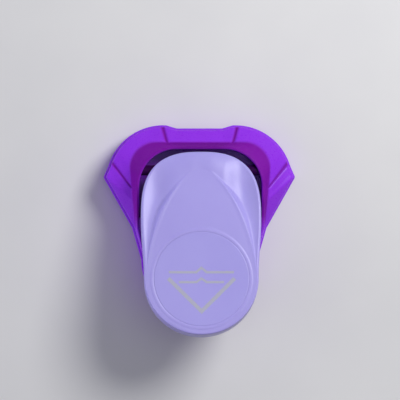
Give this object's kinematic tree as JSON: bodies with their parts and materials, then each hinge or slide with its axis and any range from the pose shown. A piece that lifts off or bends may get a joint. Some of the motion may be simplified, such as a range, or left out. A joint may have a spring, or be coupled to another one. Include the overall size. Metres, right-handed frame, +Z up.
{
  "type": "corner punch",
  "caption": "Lever-action corner punch: a winged plastic casing with a 45 degree paper slot, and a pivoted thumb lever that drives a sprung steel cutter through a die",
  "frame": {"origin": "Centre of the bounding box in plan, on the plane of the table that the base rests on.", "axes": "+Z up. -Y is the front, where the paper's corner goes in. +Y is the thumb end of the lever. X runs across, and YZ is the plane of symmetry."},
  "size_m": [0.0896, 0.0986, 0.0538],
  "materials": {
    "casing": "glossy moulded plastic, vivid purple, slightly translucent",
    "lever_plastic": "satin-gloss moulded plastic, pale lavender",
    "disc_plastic": "satin moulded plastic, pale lavender",
    "core_plastic": "matt natural white moulded plastic",
    "carrier_plastic": "matt white acetal",
    "tool_steel": "hardened and surface-ground",
    "plate_steel": "blanked sheet steel",
    "bright_steel": "drawn bright steel rod",
    "spring_steel": "drawn spring wire",
    "screw_steel": "zinc-plated"
  },
  "bodies": {
    "casing": {"base_tray": "casing", "upper_housing": "casing", "die_plate": "tool_steel", "corner_fence": "plate_steel", "guide_plate": "plate_steel", "die_rivets": "bright_steel", "guide_post_left": "bright_steel", "guide_post_right": "bright_steel", "return_spring_left": "spring_steel", "return_spring_right": "spring_steel", "pivot_pin": "bright_steel", "base_screws": "screw_steel"},
    "lever": {"lever_shell": "lever_plastic", "lever_core": "core_plastic", "thumb_disc": "disc_plastic", "presser_pin": "bright_steel", "lever_screws": "screw_steel"},
    "punch": {"punch_cutter": "tool_steel", "punch_carrier": "carrier_plastic", "wear_plate": "plate_steel", "punch_screws": "screw_steel"}
  },
  "joints": [
    {"name": "lever_hinge", "type": "hinge", "parent": "casing", "child": "lever", "pos_m": [0, -0.028, 0.0303], "axis": [-1, 0, 0], "range_deg": [0, 9.75], "stiffness_Nm_per_rad": 3.3, "springref_deg": -9.74},
    {"name": "punch_slide", "type": "slide", "parent": "casing", "child": "punch", "axis": [0, 0, -1], "range_m": [0, 0.00562], "deforming": ["return_spring_left", "return_spring_right"]}
  ],
  "couplings": [
    {"joint": "punch_slide", "follows": "lever_hinge", "m_per_rad": 0.033}
  ]
}
